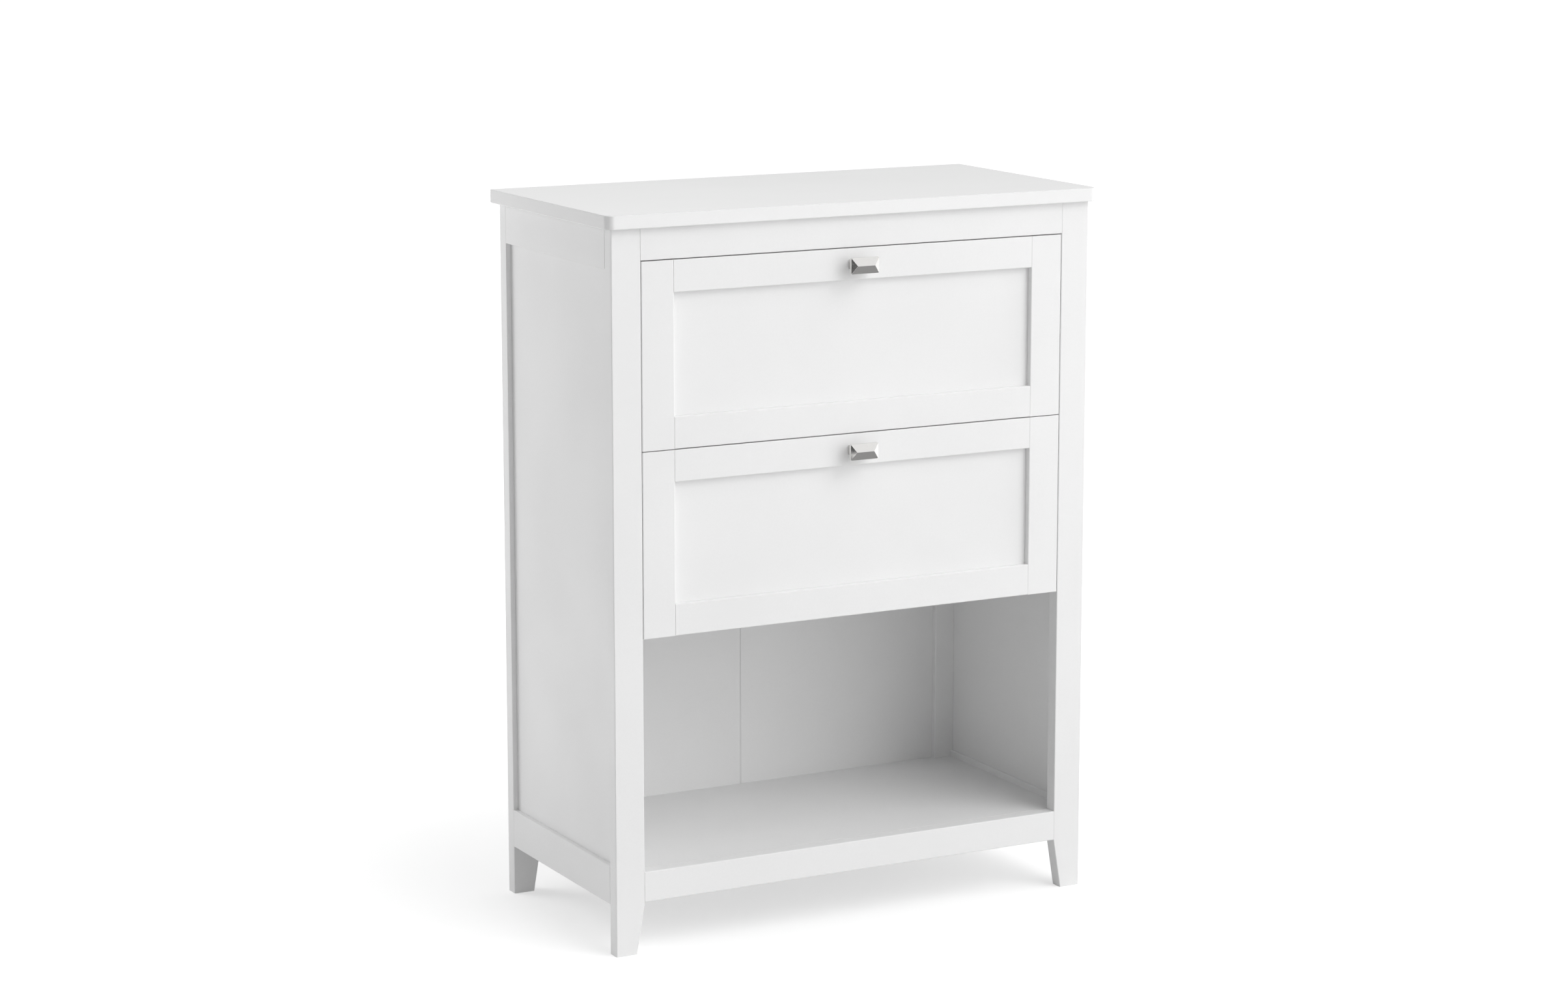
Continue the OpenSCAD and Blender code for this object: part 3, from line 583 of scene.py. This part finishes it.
@dataclass(frozen=True)
class ZincSkin(Finish):
    """Zinc on steel, or cast zinc: a grey metal with crystals and bloom.

    Attributes:
        crystals: Crystals to the metre.
        grain_depth: The depth of the metal's grain, in metres.
        grains: Grains of the metal to the metre.
    """

    crystals: float
    grain_depth: float
    grains: float = 2200.0

    def dress(
        self,
        bench: NodeBench,
        shader: bpy.types.Node,
        place: bpy.types.NodeSocket,
        effects: "EffectBook",
    ) -> None:
        """Colours the metal by its bloom and roughens it with its grain.

        Args:
            bench: The bench that works on the material's tree.
            shader: The material's Principled BSDF.
            place: The coordinates of the piece itself.
            effects: The shared effects.
        """
        bloom = effects.place(bench, MetalBloom)
        bench.feed(bloom, Place=place, Crystals_per_metre=self.crystals)
        bench.feed(bloom, Bright_tone=self.light, Dull_tone=self.shade)
        skin = effects.place(bench, SprayedSkin)
        bench.feed(skin, Place=place, Waves_per_metre=self.grains)
        bench.feed(skin, Sheen_low=self.sheen_low, Sheen_high=self.sheen_high)
        bench.feed(shader, Base_Color=bloom.outputs["Tone"], Roughness=skin.outputs["Roughness"])
        bench.feed(shader, Metallic=1.0)
        self.relief(bench, shader, skin.outputs["Height"], self.grain_depth)


@dataclass(frozen=True)
class BrushedMetal(Finish):
    """Metal brushed one way.

    Attributes:
        lines: Lines to the metre along X, Y and Z, lowest along the brushing.
        line_depth: The depth of a brushed line, in metres.
    """

    lines: tuple[float, float, float]
    line_depth: float

    def dress(
        self,
        bench: NodeBench,
        shader: bpy.types.Node,
        place: bpy.types.NodeSocket,
        effects: "EffectBook",
    ) -> None:
        """Colours and roughens the metal along its lines.

        Args:
            bench: The bench that works on the material's tree.
            shader: The material's Principled BSDF.
            place: The coordinates of the piece itself.
            effects: The shared effects.
        """
        brushed = effects.place(bench, BrushedLines)
        bench.feed(brushed, Place=place, Lines_per_metre=self.lines)
        bench.feed(brushed, Sheen_low=self.sheen_low, Sheen_high=self.sheen_high)
        tone = bench.blend(brushed.outputs["Lines"], self.light, self.shade)
        bench.feed(shader, Base_Color=tone, Roughness=brushed.outputs["Roughness"])
        bench.feed(shader, Metallic=1.0)
        self.relief(bench, shader, brushed.outputs["Height"], self.line_depth)


@dataclass(frozen=True)
class TurnedBeech(Finish):
    """Bare beech of the dowels.

    Attributes:
        grain_depth: The depth of the wood's grain, in metres.
    """

    grain_depth: float

    def dress(
        self,
        bench: NodeBench,
        shader: bpy.types.Node,
        place: bpy.types.NodeSocket,
        effects: "EffectBook",
    ) -> None:
        """Gives the wood its figure and a dry sheen.

        Args:
            bench: The bench that works on the material's tree.
            shader: The material's Principled BSDF.
            place: The coordinates of the piece itself.
            effects: The shared effects.
        """
        figure = effects.place(bench, BeechFigure)
        bench.feed(figure, Place=place, Pale_wood=self.light, Dark_wood=self.shade)
        height = figure.outputs["Height"]
        sheen = bench.span(height, *NOISE_NARROW, self.sheen_low, self.sheen_high)
        bench.feed(shader, Base_Color=figure.outputs["Tone"], Roughness=sheen)
        self.relief(bench, shader, height, self.grain_depth)


class EffectBook:
    """The shared effects, each built the first time that a finish asks for it."""

    def __init__(self) -> None:
        """Starts with no effect built."""
        self.built: dict[type[Effect], Effect] = {}

    def place(self, bench: NodeBench, kind: type[Effect]) -> bpy.types.Node:
        """Puts an effect's group node into a material.

        Args:
            bench: The bench that works on the material's tree.
            kind: The effect's class.

        Returns:
            The group node.
        """
        if kind not in self.built:
            self.built[kind] = kind()
        return bench.add("ShaderNodeGroup", node_tree=self.built[kind].tree)


def grey(value: float, warmth: float = 0.0) -> Colour:
    """Gives a grey, warmer by a share taken from its blue."""
    return (value, value * (1.0 - warmth * GREEN_LOSS), value * (1.0 - warmth), 1.0)


FINISHES: dict[FinishName, Finish] = {
    FinishName.PAINT: SprayedPaint(
        light=grey(0.865),
        shade=grey(0.845),
        sheen_low=0.36,
        sheen_high=0.46,
        waves=420.0,
        wave_depth=0.02 * MM,
    ),
    FinishName.TOP_PAINT: SprayedPaint(
        light=grey(0.86),
        shade=grey(0.85),
        sheen_low=0.06,
        sheen_high=0.09,
        waves=120.0,
        wave_depth=0.002 * MM,
    ),
    FinishName.FOIL: LinedWhite(
        light=grey(0.83),
        shade=grey(0.79),
        sheen_low=0.5,
        sheen_high=0.62,
        clouds=9.0,
        lines=(260.0, 1500.0, 1500.0),
        line_depth=0.03 * MM,
    ),
    FinishName.STRIP: LinedWhite(
        light=grey(0.85),
        shade=grey(0.81),
        sheen_low=0.32,
        sheen_high=0.45,
        clouds=14.0,
        lines=(1800.0, 1800.0, 6.0),
        line_depth=0.02 * MM,
    ),
    FinishName.PLATED: ZincSkin(
        light=(0.66, 0.67, 0.69, 1.0),
        shade=(0.57, 0.58, 0.6, 1.0),
        sheen_low=0.26,
        sheen_high=0.36,
        crystals=380.0,
        grain_depth=0.008 * MM,
    ),
    FinishName.SCREWS: ZincSkin(
        light=(0.5, 0.5, 0.5, 1.0),
        shade=(0.42, 0.42, 0.43, 1.0),
        sheen_low=0.32,
        sheen_high=0.42,
        crystals=1400.0,
        grain_depth=0.006 * MM,
    ),
    FinishName.CAST: ZincSkin(
        light=(0.56, 0.57, 0.59, 1.0),
        shade=(0.42, 0.43, 0.44, 1.0),
        sheen_low=0.35,
        sheen_high=0.5,
        crystals=900.0,
        grain_depth=0.03 * MM,
    ),
    FinishName.BALLS: BrushedMetal(
        light=grey(0.75),
        shade=grey(0.7),
        sheen_low=0.06,
        sheen_high=0.12,
        lines=(900.0, 900.0, 900.0),
        line_depth=0.002 * MM,
    ),
    FinishName.NICKEL: BrushedMetal(
        light=grey(0.79, warmth=0.03),
        shade=grey(0.76, warmth=0.03),
        sheen_low=0.19,
        sheen_high=0.24,
        lines=(160.0, 6500.0, 6500.0),
        line_depth=0.0015 * MM,
    ),
    FinishName.BEECH: TurnedBeech(
        light=(0.72, 0.52, 0.33, 1.0),
        shade=(0.52, 0.34, 0.19, 1.0),
        sheen_low=0.55,
        sheen_high=0.7,
        grain_depth=0.06 * MM,
    ),
}


@dataclass
class Workshop:
    """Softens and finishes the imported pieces.

    Attributes:
        merge_gap: Points of one piece that lie nearer than this are one point, in metres.
        flatness: The angle between two faces up to which they count as one, in radians.
        crease: The angle between two faces from which their edge counts as sharp, in radians.
        edge_steps: The number of faces across a softened edge.
        effects: The shared effects.
        materials: The materials made so far.
    """

    merge_gap: float = 0.01 * MM
    flatness: float = math.radians(1.0)
    crease: float = math.radians(30.0)
    edge_steps: int = 2
    effects: EffectBook = field(default_factory=EffectBook)
    materials: dict[FinishName, bpy.types.Material] = field(default_factory=dict)

    def material(self, name: FinishName) -> bpy.types.Material:
        """Gives the finish's material, made the first time."""
        if name not in self.materials:
            self.materials[name] = FINISHES[name].make(name, self.effects)
        return self.materials[name]

    def dress(
        self, names: Iterable[str], finish: FinishName, softness: Softness = Softness.NONE
    ) -> None:
        """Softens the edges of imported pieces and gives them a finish.

        Args:
            names: The pieces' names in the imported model.
            finish: The finish of all their surfaces.
            softness: How much of each sharp edge goes.
        """
        for name in names:
            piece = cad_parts[name]
            for slot in piece.material_slots:
                slot.material = self.material(finish)
            if softness is not Softness.NONE:
                self.soften(piece, softness.value)
            LOG.info("%s: %s", name, finish.value)

    def soften(self, piece: bpy.types.Object, width: float) -> None:
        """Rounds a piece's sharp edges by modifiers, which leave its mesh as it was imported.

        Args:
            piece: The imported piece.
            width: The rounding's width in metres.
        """
        weld = piece.modifiers.new("weld", "WELD")
        weld.merge_threshold = self.merge_gap
        flat = piece.modifiers.new("flat faces", "DECIMATE")
        flat.decimate_type = "DISSOLVE"
        flat.angle_limit = self.flatness
        bevel = piece.modifiers.new("soft edges", "BEVEL")
        bevel.width = width
        bevel.segments = self.edge_steps
        bevel.limit_method = "ANGLE"
        bevel.angle_limit = self.crease
        bevel.use_clamp_overlap = False


class SubAssembly:
    """A part of the tower whose pieces are dressed together."""

    title = "sub-assembly"

    def build(self, workshop: Workshop) -> None:
        """Dresses the sub-assembly's pieces.

        Args:
            workshop: The workshop that softens and finishes pieces.
        """
        raise NotImplementedError


@dataclass
class TopBoard(SubAssembly):
    """The top board, polished more than the rest."""

    title = "top board"

    def build(self, workshop: Workshop) -> None:
        """Dresses the board.

        Args:
            workshop: The workshop that softens and finishes pieces.
        """
        workshop.dress(["top_board"], FinishName.TOP_PAINT)


@dataclass
class Carcass(SubAssembly):
    """Legs, rails, side panels, boards and the back.

    Attributes:
        wall_parts: What each side has between its legs.
        boards: The boards and the halves of the back.
    """

    title = "carcass"
    wall_parts: tuple[str, ...] = ("top_rail", "bottom_rail", "panel")
    boards: tuple[str, ...] = (
        "bottom_board",
        "middle_board",
        "back_left_panel",
        "back_right_panel",
    )

    def build(self, workshop: Workshop) -> None:
        """Dresses the frame, the boards and the back.

        Args:
            workshop: The workshop that softens and finishes pieces.
        """
        legs = [f"{end}_{side}_leg" for end in ENDS for side in SIDES]
        rails = [f"{end}_{height}_rail" for end in ENDS for height in HEIGHTS]
        walls = [f"{side}_side_{part}" for side in SIDES for part in self.wall_parts]
        workshop.dress([*legs, *rails, *walls, *self.boards], FinishName.PAINT)
        workshop.dress([f"{side}_runner_battens" for side in SIDES], FinishName.FOIL)
        workshop.dress(["back_joint_strip"], FinishName.STRIP)


@dataclass
class Fittings(SubAssembly):
    """Dowels, cams, bolts and screws of the carcass."""

    title = "fittings"

    def build(self, workshop: Workshop) -> None:
        """Dresses the fittings.

        Args:
            workshop: The workshop that softens and finishes pieces.
        """
        workshop.dress(["dowels"], FinishName.BEECH)
        workshop.dress(["cams"], FinishName.CAST)
        workshop.dress(["cam_bolts", "runner_screws"], FinishName.SCREWS)


@dataclass
class Drawer(SubAssembly):
    """One drawer: its framed front, its box, its knob and its runners.

    Attributes:
        level: Which of the two drawers it is.
        front_parts: The pieces of its front.
        box_parts: The pieces of its box.
        runner_parts: The members of its runners, and their cages.
    """

    level: str
    front_parts: tuple[str, ...] = (
        "front_left_stile",
        "front_right_stile",
        "front_top_rail",
        "front_bottom_rail",
        "front_panel",
    )
    box_parts: tuple[str, ...] = ("box_left_side", "box_right_side", "box_back", "box_bottom")
    runner_parts: tuple[str, ...] = (
        "left_inner_runner",
        "right_inner_runner",
        "left_outer_runner",
        "right_outer_runner",
        "ball_cages",
    )

    @property
    def title(self) -> str:
        """The drawer's name in the log."""
        return f"{self.level} drawer"

    def build(self, workshop: Workshop) -> None:
        """Dresses the front, the box, the knob and the runners.

        Args:
            workshop: The workshop that softens and finishes pieces.
        """
        workshop.dress(self.named(self.front_parts), FinishName.PAINT)
        workshop.dress(self.named(self.box_parts), FinishName.FOIL)
        workshop.dress(self.named(self.runner_parts), FinishName.PLATED)
        workshop.dress(self.named(["drawer_fasteners"]), FinishName.SCREWS)
        workshop.dress(self.named(["balls"]), FinishName.BALLS)
        workshop.dress(self.named(["knob"]), FinishName.NICKEL, Softness.METAL)

    def named(self, parts: Iterable[str]) -> list[str]:
        """Gives the full names of this drawer's pieces."""
        return [f"{self.level}_{part}" for part in parts]


@dataclass(frozen=True)
class Softbox:
    """A soft lamp that shines at the tower and isn't seen itself, not even in reflections.

    Attributes:
        name: The lamp's name.
        turn: The way to it, in degrees to the right of the tower's front.
        lift: Its height above the horizon, in degrees.
        distance: Its distance in metres.
        width: Its width in metres.
        height: Its height in metres.
        level: How bright it makes a white face that looks straight at it.
    """

    name: str
    turn: float
    lift: float
    distance: float
    width: float
    height: float
    level: float

    def hang(self, aim: Vector) -> None:
        """Hangs the lamp.

        Args:
            aim: The point that it shines at.
        """
        turn, lift = math.radians(self.turn), math.radians(self.lift)
        flat, rise = self.distance * math.cos(lift), self.distance * math.sin(lift)
        way = Vector((flat * math.sin(turn), -flat * math.cos(turn), rise))
        lamp = bpy.data.lights.new(self.name, "AREA")
        lamp.shape = "RECTANGLE"
        lamp.size = self.width
        lamp.size_y = self.height
        # A small flat lamp of this power lights a white face at its distance to the level
        lamp.energy = self.level * (math.pi * self.distance) ** 2
        holder = bpy.data.objects.new(self.name, lamp)
        holder.location = aim + way
        holder.rotation_euler = way.to_track_quat("Z", "Y").to_euler()
        holder.visible_camera = holder.visible_glossy = False
        bpy.context.scene.collection.objects.link(holder)


@dataclass
class Studio:
    """The floor, the lamps and the surroundings.

    Attributes:
        floor_size: The floor's side in metres.
        floor_tone: The floor's tone to the light that it throws back at the tower.
        floor_kept: How much of its light the floor shows to the eye.
        floor_glow: What the floor adds to that near the tower and far from it.
        glow_span: The distances from the tower where that is near and far, in metres.
        ambient: The level of the soft light from all around.
        horizon: The level of the surroundings in reflections, low down.
        horizon_band: Where that fades up to white, as heights of a direction of length 1.
        flag_turn: The way to the standing card, in degrees to the right of the tower's front.
        flag_distance: The standing card's distance.
        flag_size: The standing card's width and height.
        flag_level: How bright the standing card shows in reflections, where white is 1.
        laid_reach: The near and the far edge of the lying card along Y.
        laid_width: The lying card's width.
        laid_lift: The lying card's height above the floor.
        laid_level: How bright the lying card shows in reflections, where white is 1.
        lamp_aim: The point that the lamps shine at.
        lamps: The soft lamps.
    """

    floor_size: float = 60.0
    floor_tone: float = 0.8
    floor_kept: float = 0.7
    floor_glow: tuple[float, float] = (0.47, 0.8)
    glow_span: tuple[float, float] = (0.3, 1.6)
    ambient: float = 0.33
    horizon: float = 0.7
    horizon_band: tuple[float, float] = (0.095, 0.115)
    flag_turn: float = -38.0
    flag_distance: float = 2.2
    flag_size: tuple[float, float] = (2.7, 1.2)
    flag_level: float = 0.07
    laid_reach: tuple[float, float] = (-0.35, -1.6)
    laid_width: float = 2.6
    laid_lift: float = 4.0 * MM
    laid_level: float = 0.33
    lamp_aim: Vector = field(default_factory=lambda: Vector((0.0, 0.0, 0.4)))
    lamps: tuple[Softbox, ...] = (
        Softbox("key", turn=30.0, lift=24.0, distance=9.0, width=9.0, height=9.5, level=0.552),
        Softbox("front_top", turn=34.0, lift=52.0, distance=7.0, width=5.2, height=6.0, level=0.3),
        Softbox(
            "side_strip", turn=77.0, lift=8.0, distance=2.4, width=0.8, height=1.4, level=0.17
        ),
        Softbox("fill", turn=-136.0, lift=15.0, distance=1.7, width=0.9, height=1.2, level=0.34),
        Softbox("overhead", turn=165.0, lift=72.0, distance=3.0, width=3.2, height=0.9, level=0.1),
    )

    def build(self) -> None:
        """Makes the surroundings, the floor, the cards and the lamps."""
        self.surround()
        self.lay_floor()
        self.stand_flag()
        self.lay_card()
        for lamp in self.lamps:
            lamp.hang(self.lamp_aim)

    def white_for_eye(self, bench: NodeBench) -> bpy.types.NodeSocket:
        """Gives 1 where the camera, a reflection or a view through glass looks, else 0."""
        path = bench.add("ShaderNodeLightPath").outputs
        seen = bench.math("MAXIMUM", path["Is Camera Ray"], path["Is Glossy Ray"])
        return bench.math("MAXIMUM", seen, path["Is Transmission Ray"])

    def surround(self) -> None:
        """Makes the world: even light all around, plain white to the eye."""
        world = bpy.data.worlds.new("studio")
        bpy.context.scene.world = world
        world.use_nodes = True
        world.node_tree.nodes.clear()
        bench = NodeBench(world.node_tree)
        soft = bench.add("ShaderNodeBackground")
        bench.feed(soft, Color=WHITE, Strength=self.ambient)
        white = bench.add("ShaderNodeBackground")
        bench.feed(white, Color=WHITE, Strength=self.reflected_sky(bench))
        choice = bench.add("ShaderNodeMixShader")
        bench.join(self.white_for_eye(bench), choice.inputs[0])
        bench.join(soft.outputs[0], choice.inputs[1])
        bench.join(white.outputs[0], choice.inputs[2])
        output = bench.add("ShaderNodeOutputWorld")
        bench.join(choice.outputs[0], output.inputs["Surface"])

    def reflected_sky(self, bench: NodeBench) -> bpy.types.NodeSocket:
        """Gives the surroundings' level: white, but a little less low down in reflections.

        Args:
            bench: The bench that works on the world's tree.

        Returns:
            The level.
        """
        way = bench.add("ShaderNodeSeparateXYZ")
        bench.join(bench.add("ShaderNodeTexCoord").outputs["Generated"], way.inputs[0])
        sky = bench.span(way.outputs["Z"], *self.horizon_band, self.horizon, 1.0)
        path = bench.add("ShaderNodeLightPath").outputs
        missing = bench.math("SUBTRACT", 1.0, sky)
        return bench.math("SUBTRACT", 1.0, bench.math("MULTIPLY", missing, path["Is Glossy Ray"]))

    def lay_floor(self) -> None:
        """Lays the floor that keeps the tower's shadow and is white elsewhere."""
        half = self.floor_size / 2.0
        corners = [(-half, -half, 0.0), (half, -half, 0.0), (half, half, 0.0), (-half, half, 0.0)]
        floor = self.sheet("floor", corners)
        bench = self.sheet_bench(floor, "studio_floor")
        matt = bench.add("ShaderNodeBsdfDiffuse")
        bench.feed(matt, Color=grey(self.floor_tone))
        kept = bench.add("ShaderNodeBsdfDiffuse")
        bench.feed(kept, Color=grey(self.floor_kept))
        reach = bench.add("ShaderNodeVectorMath", operation="LENGTH")
        bench.join(bench.add("ShaderNodeTexCoord").outputs["Object"], reach.inputs[0])
        near, far = self.glow_span
        glow = bench.add("ShaderNodeEmission")
        bench.feed(glow, Color=WHITE)
        level = bench.span(reach.outputs["Value"], near, far, *self.floor_glow)
        bench.join(level, glow.inputs["Strength"])
        seen = bench.add("ShaderNodeAddShader")
        bench.join(kept.outputs[0], seen.inputs[0])
        bench.join(glow.outputs[0], seen.inputs[1])
        choice = bench.add("ShaderNodeMixShader")
        bench.join(self.white_for_eye(bench), choice.inputs[0])
        bench.join(matt.outputs[0], choice.inputs[1])
        bench.join(seen.outputs[0], choice.inputs[2])
        output = bench.add("ShaderNodeOutputMaterial")
        bench.join(choice.outputs[0], output.inputs["Surface"])

    def stand_flag(self) -> None:
        """Stands a dark card at the front left."""
        turn = math.radians(self.flag_turn)
        width, height = self.flag_size
        middle = Vector((math.sin(turn), -math.cos(turn), 0.0)) * self.flag_distance
        across = Vector((math.cos(turn), math.sin(turn), 0.0)) * (width / 2.0)
        top = Vector((0.0, 0.0, height))
        left, right = middle - across, middle + across
        corners = [tuple(corner) for corner in (left, right, right + top, left + top)]
        self.card("flag", corners, self.flag_level)

    def lay_card(self) -> None:
        """Lays a grey card in front, just above the floor."""
        near, far = self.laid_reach
        half, lift = self.laid_width / 2.0, self.laid_lift
        corners = [(-half, far, lift), (half, far, lift), (half, near, lift), (-half, near, lift)]
        self.card("floor_card", corners, self.laid_level)

    def card(self, name: str, corners: list[tuple[float, float, float]], level: float) -> None:
        """Puts up a card that only reflections show.

        Args:
            name: The card's name.
            corners: Its four corners in order.
            level: How bright it shows in reflections, where white is 1.
        """
        piece = self.sheet(name, corners)
        bench = self.sheet_bench(piece, name)
        dark = bench.add("ShaderNodeEmission")
        bench.feed(dark, Color=WHITE, Strength=level)
        output = bench.add("ShaderNodeOutputMaterial")
        bench.join(dark.outputs[0], output.inputs["Surface"])
        piece.visible_camera = piece.visible_diffuse = piece.visible_shadow = False

    def sheet(self, name: str, corners: list[tuple[float, float, float]]) -> bpy.types.Object:
        """Makes a flat sheet of the studio.

        Args:
            name: The sheet's name.
            corners: Its four corners in order.

        Returns:
            The sheet.
        """
        mesh = bpy.data.meshes.new(name)
        mesh.from_pydata(corners, [], [(0, 1, 2, 3)])
        piece = bpy.data.objects.new(name, mesh)
        bpy.context.scene.collection.objects.link(piece)
        return piece

    def sheet_bench(self, piece: bpy.types.Object, name: str) -> NodeBench:
        """Gives a sheet an empty material.

        Args:
            piece: The sheet.
            name: The material's name.

        Returns:
            The bench that works on the material's tree.
        """
        material = bpy.data.materials.new(name)
        material.use_nodes = True
        material.node_tree.nodes.clear()
        piece.data.materials.append(material)
        return NodeBench(material.node_tree)


@dataclass
class Viewpoint:
    """The camera.

    Attributes:
        place: Where it stands.
        pitch: How far it looks down, in degrees.
        yaw: How far it looks to the right of +Y, in degrees.
        lens: Its focal length in millimetres.
        sensor: Its sensor's width in millimetres.
    """

    place: Vector = field(default_factory=lambda: Vector((-1.95314, -3.63845, 1.23887)))
    pitch: float = 10.70
    yaw: float = 28.02
    lens: float = 86.25
    sensor: float = 36.0

    def build(self) -> None:
        """Sets the camera up and makes it the scene's own."""
        data = bpy.data.cameras.new("view")
        data.sensor_width = self.sensor
        data.lens = self.lens
        camera = bpy.data.objects.new("view", data)
        camera.location = self.place
        tilt = Euler((math.radians(90.0 - self.pitch), 0.0, math.radians(-self.yaw)))
        camera.rotation_euler = tilt
        bpy.context.scene.collection.objects.link(camera)
        bpy.context.scene.camera = camera


def main() -> None:
    """Builds the scene piece by piece."""
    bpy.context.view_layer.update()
    bpy.context.scene.view_settings.view_transform = "Standard"
    Viewpoint().build()
    LOG.info("camera placed")
    Studio().build()
    LOG.info("studio lit")
    workshop = Workshop()
    parts: list[SubAssembly] = [TopBoard(), Carcass(), Fittings()]
    parts += [Drawer(level) for level in LEVELS]
    for part in parts:
        part.build(workshop)
        LOG.info("%s dressed", part.title)


if __name__ == "__main__":
    logging.basicConfig(level=logging.INFO, format="%(message)s")
    main()
